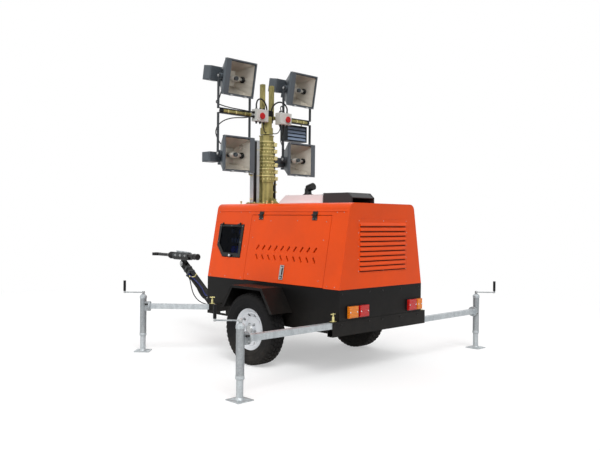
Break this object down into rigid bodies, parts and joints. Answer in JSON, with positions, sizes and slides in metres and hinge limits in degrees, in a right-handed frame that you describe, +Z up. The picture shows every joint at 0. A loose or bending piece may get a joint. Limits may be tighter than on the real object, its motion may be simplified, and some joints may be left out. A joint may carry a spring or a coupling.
{
  "type": "towable mobile light tower",
  "caption": "Towable light tower: enclosed generator body on wheels, folding drawbar, outriggers with screw jacks, telescopic turning mast with tilting floodlights.",
  "frame": {"origin": "on the ground, at the middle of the bounding box's base, on the machine's centre plane", "axes": "+X forward to the tow eye, +Y to the machine's left, +Z up"},
  "size_m": [3.8847, 3.5046, 2.9285],
  "materials": {
    "orange_paint": "gloss",
    "black_paint": "satin",
    "galvanised": "dull zinc",
    "yellow_zinc": "passivated zinc",
    "lamp_grey": "satin",
    "lamp_glass": "clear",
    "smoked_glass": "smoked",
    "tyre": "matt",
    "rim_silver": "silver",
    "white_paint": "gloss",
    "white_plastic": "satin",
    "red_lens": "moulded lens",
    "amber_lens": "moulded lens",
    "dark_panel": "matt",
    "engine_iron": "rough"
  },
  "bodies": {
    "trailer": {"chassis": "black_paint", "skirt": "black_paint", "axle": "black_paint", "fenders": "black_paint", "canopy": "orange_paint", "rear_panel": "orange_paint", "control_panel": "dark_panel", "tail_lamps_red": "red_lens", "tail_lamps_amber": "amber_lens", "roof_hood": "black_paint", "silencer_box": "white_paint", "exhaust_elbow": "black_paint", "engine_block": "engine_iron", "roof_ring": "orange_paint", "hinge_leaves": "black_paint", "beam_latches": "yellow_zinc"},
    "door_left": {"door_left": "orange_paint", "door_fittings_left": "black_paint"},
    "door_right": {"door_right": "orange_paint", "door_fittings_right": "black_paint"},
    "control_lid": {"control_lid": "black_paint", "control_glass": "smoked_glass"},
    "wheel_left": {"tyre_left": "tyre", "rim_left": "rim_silver"},
    "wheel_right": {"tyre_right": "tyre", "rim_right": "rim_silver"},
    "beam_rear_left": {"beam_rl": "galvanised"},
    "jack_rear_left": {"jack_rl": "galvanised"},
    "leg_rear_left": {"leg_rl": "galvanised"},
    "beam_rear_right": {"beam_rr": "galvanised"},
    "jack_rear_right": {"jack_rr": "galvanised"},
    "leg_rear_right": {"leg_rr": "galvanised"},
    "beam_front_left": {"beam_fl": "galvanised"},
    "jack_front_left": {"jack_fl": "galvanised"},
    "leg_front_left": {"leg_fl": "galvanised"},
    "beam_front_right": {"beam_fr": "galvanised"},
    "jack_front_right": {"jack_fr": "galvanised"},
    "leg_front_right": {"leg_fr": "galvanised"},
    "drawbar_arm": {"drawbar_arm": "black_paint"},
    "coupling_head": {"coupling_head": "black_paint"},
    "mast": {"mast_base": "yellow_zinc"},
    "stage_2": {"stage_2": "yellow_zinc"},
    "stage_3": {"stage_3": "yellow_zinc"},
    "stage_4": {"stage_4": "yellow_zinc"},
    "stage_5": {"stage_5": "yellow_zinc"},
    "stage_6": {"stage_6": "yellow_zinc"},
    "stage_7": {"stage_7": "yellow_zinc", "lamp_bar": "yellow_zinc", "lamp_yokes": "lamp_grey", "junction_boxes": "white_plastic"},
    "lamp_upper_left": {"lamp_ul": "lamp_grey", "glass_ul": "lamp_glass"},
    "lamp_upper_right": {"lamp_ur": "lamp_grey", "glass_ur": "lamp_glass"},
    "lamp_lower_left": {"lamp_ll": "lamp_grey", "glass_ll": "lamp_glass"},
    "lamp_lower_right": {"lamp_lr": "lamp_grey", "glass_lr": "lamp_glass"}
  },
  "joints": [
    {"name": "wheel_left_spin", "type": "hinge", "parent": "trailer", "child": "wheel_left", "pos_m": [-0.89933, 0.705, 0.33], "axis": [0, 1, 0], "continuous": true},
    {"name": "wheel_right_spin", "type": "hinge", "parent": "trailer", "child": "wheel_right", "pos_m": [-0.89933, -0.705, 0.33], "axis": [0, 1, 0], "continuous": true},
    {"name": "door_left_hinge", "type": "hinge", "parent": "trailer", "child": "door_left", "pos_m": [-1.09533, 0.47346, 1.38083], "axis": [1, 0, 0], "range_deg": [0, 80]},
    {"name": "door_right_hinge", "type": "hinge", "parent": "trailer", "child": "door_right", "pos_m": [-1.09533, -0.47346, 1.38083], "axis": [-1, 0, 0], "range_deg": [0, 80]},
    {"name": "control_lid_hinge", "type": "hinge", "parent": "trailer", "child": "control_lid", "pos_m": [-0.26683, 0.4905, 1.28432], "axis": [1, 0, 0], "range_deg": [0, 80]},
    {"name": "beam_rear_left_slide", "type": "slide", "parent": "trailer", "child": "beam_rear_left", "axis": [0, 1, 0], "range_m": [-0.875, 0]},
    {"name": "jack_rear_left_fold", "type": "hinge", "parent": "beam_rear_left", "child": "jack_rear_left", "pos_m": [-1.79503, 1.605, 0.4537], "axis": [0, -1, 0], "range_deg": [0, 90]},
    {"name": "leg_rear_left_screw", "type": "slide", "parent": "jack_rear_left", "child": "leg_rear_left", "axis": [0, 0, 1], "range_m": [-0.15, 0.13]},
    {"name": "beam_rear_right_slide", "type": "slide", "parent": "trailer", "child": "beam_rear_right", "axis": [0, -1, 0], "range_m": [-0.875, 0]},
    {"name": "jack_rear_right_fold", "type": "hinge", "parent": "beam_rear_right", "child": "jack_rear_right", "pos_m": [-1.79503, -1.605, 0.3911], "axis": [0, -1, 0], "range_deg": [0, 90]},
    {"name": "leg_rear_right_screw", "type": "slide", "parent": "jack_rear_right", "child": "leg_rear_right", "axis": [0, 0, 1], "range_m": [-0.15, 0.13]},
    {"name": "beam_front_left_slide", "type": "slide", "parent": "trailer", "child": "beam_front_left", "axis": [0.7071, 0.7071, 0], "range_m": [-0.578, 0]},
    {"name": "jack_front_left_fold", "type": "hinge", "parent": "beam_front_left", "child": "jack_front_left", "pos_m": [0.32067, 1.138, 0.4537], "axis": [-0.7071, -0.7071, 0], "range_deg": [0, 90]},
    {"name": "leg_front_left_screw", "type": "slide", "parent": "jack_front_left", "child": "leg_front_left", "axis": [0, 0, 1], "range_m": [-0.15, 0.13]},
    {"name": "beam_front_right_slide", "type": "slide", "parent": "trailer", "child": "beam_front_right", "axis": [0.7071, -0.7071, 0], "range_m": [-0.578, 0]},
    {"name": "jack_front_right_fold", "type": "hinge", "parent": "beam_front_right", "child": "jack_front_right", "pos_m": [0.32067, -1.138, 0.4537], "axis": [0.7071, -0.7071, 0], "range_deg": [0, 90]},
    {"name": "leg_front_right_screw", "type": "slide", "parent": "jack_front_right", "child": "leg_front_right", "axis": [0, 0, 1], "range_m": [-0.15, 0.13]},
    {"name": "drawbar_lower_pivot", "type": "hinge", "parent": "trailer", "child": "drawbar_arm", "pos_m": [0.67067, 0, 0.35], "axis": [0, -1, 0], "range_deg": [-30, 10]},
    {"name": "drawbar_upper_pivot", "type": "hinge", "parent": "drawbar_arm", "child": "coupling_head", "pos_m": [1.27338, 0, 0.7879], "axis": [0, 1, 0], "range_deg": [-35, 15]},
    {"name": "mast_turn", "type": "hinge", "parent": "trailer", "child": "mast", "pos_m": [-0.22933, 0, 1.49], "axis": [0, 0, 1], "range_deg": [-175, 175]},
    {"name": "mast_lift", "type": "slide", "parent": "mast", "child": "stage_2", "axis": [0, 0, 1], "range_m": [0, 1]},
    {"name": "stage_3_lift", "type": "slide", "parent": "stage_2", "child": "stage_3", "axis": [0, 0, 1], "range_m": [0, 1]},
    {"name": "stage_4_lift", "type": "slide", "parent": "stage_3", "child": "stage_4", "axis": [0, 0, 1], "range_m": [0, 1]},
    {"name": "stage_5_lift", "type": "slide", "parent": "stage_4", "child": "stage_5", "axis": [0, 0, 1], "range_m": [0, 1]},
    {"name": "stage_6_lift", "type": "slide", "parent": "stage_5", "child": "stage_6", "axis": [0, 0, 1], "range_m": [0, 1]},
    {"name": "stage_7_lift", "type": "slide", "parent": "stage_6", "child": "stage_7", "axis": [0, 0, 1], "range_m": [0, 1]},
    {"name": "lamp_upper_left_tilt", "type": "hinge", "parent": "stage_7", "child": "lamp_upper_left", "pos_m": [-0.22933, 0.44, 2.765], "axis": [0, 1, 0], "range_deg": [-50, 30]},
    {"name": "lamp_upper_right_tilt", "type": "hinge", "parent": "stage_7", "child": "lamp_upper_right", "pos_m": [-0.22933, -0.44, 2.765], "axis": [0, 1, 0], "range_deg": [-50, 30]},
    {"name": "lamp_lower_left_tilt", "type": "hinge", "parent": "stage_7", "child": "lamp_lower_left", "pos_m": [-0.22933, 0.44, 1.99], "axis": [0, 1, 0], "range_deg": [-50, 30]},
    {"name": "lamp_lower_right_tilt", "type": "hinge", "parent": "stage_7", "child": "lamp_lower_right", "pos_m": [-0.22933, -0.44, 1.99], "axis": [0, 1, 0], "range_deg": [-50, 30]}
  ],
  "couplings": [
    {"joint": "stage_3_lift", "follows": "mast_lift", "ratio": 1},
    {"joint": "stage_4_lift", "follows": "mast_lift", "ratio": 1},
    {"joint": "stage_5_lift", "follows": "mast_lift", "ratio": 1},
    {"joint": "stage_6_lift", "follows": "mast_lift", "ratio": 1},
    {"joint": "stage_7_lift", "follows": "mast_lift", "ratio": 1}
  ]
}
